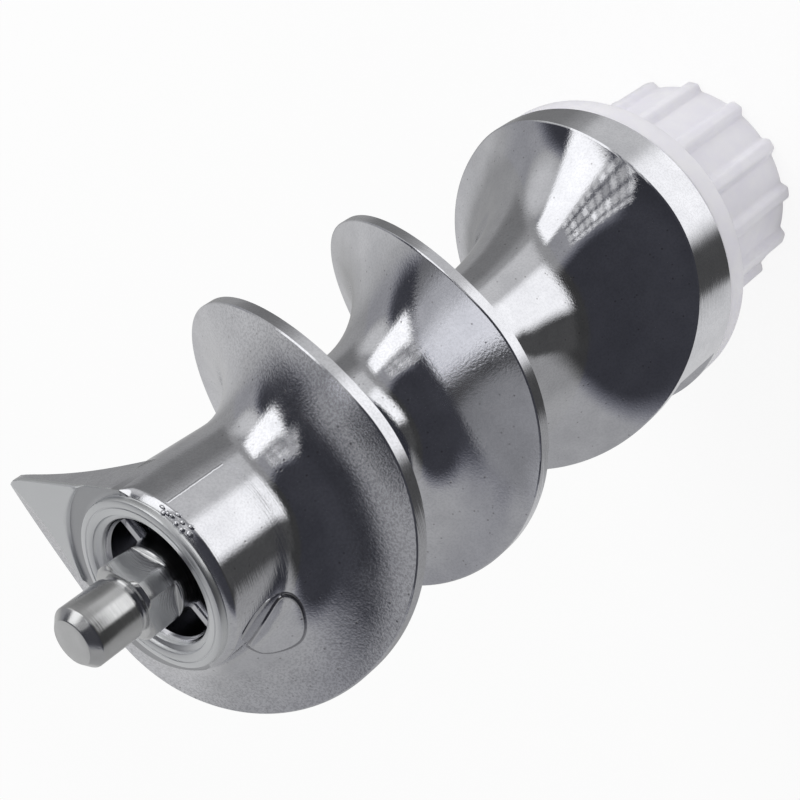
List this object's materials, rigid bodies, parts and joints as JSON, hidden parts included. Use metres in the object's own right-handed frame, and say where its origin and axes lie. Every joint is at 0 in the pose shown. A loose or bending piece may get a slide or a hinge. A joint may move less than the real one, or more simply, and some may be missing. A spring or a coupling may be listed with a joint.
{
  "type": "meat grinder auger",
  "caption": "Left-hand feed screw for a kitchen meat grinder: cast aluminium flight with a steel knife stud at the front and a white toothed plastic drive coupling at the rear.",
  "frame": {"origin": "centre of the drive coupling's flat end face, on which the screw stands", "axes": "+Z along the screw's axis to the pilot pin, +X to the side of the screw that faces the picture's camera, +Y completes the right-handed set"},
  "size_m": [0.046, 0.046, 0.1293],
  "materials": {
    "cast_aluminium": "bright die-cast aluminium with fine grey speckle, land and rim turned on a lathe",
    "stud_steel": "turned and milled steel, slightly warm grey",
    "white_plastic": "moulded white plastic, slightly translucent"
  },
  "bodies": {
    "root": {"screw_body": "cast_aluminium", "knife_stud": "stud_steel", "drive_coupling": "white_plastic"}
  },
  "joints": []
}
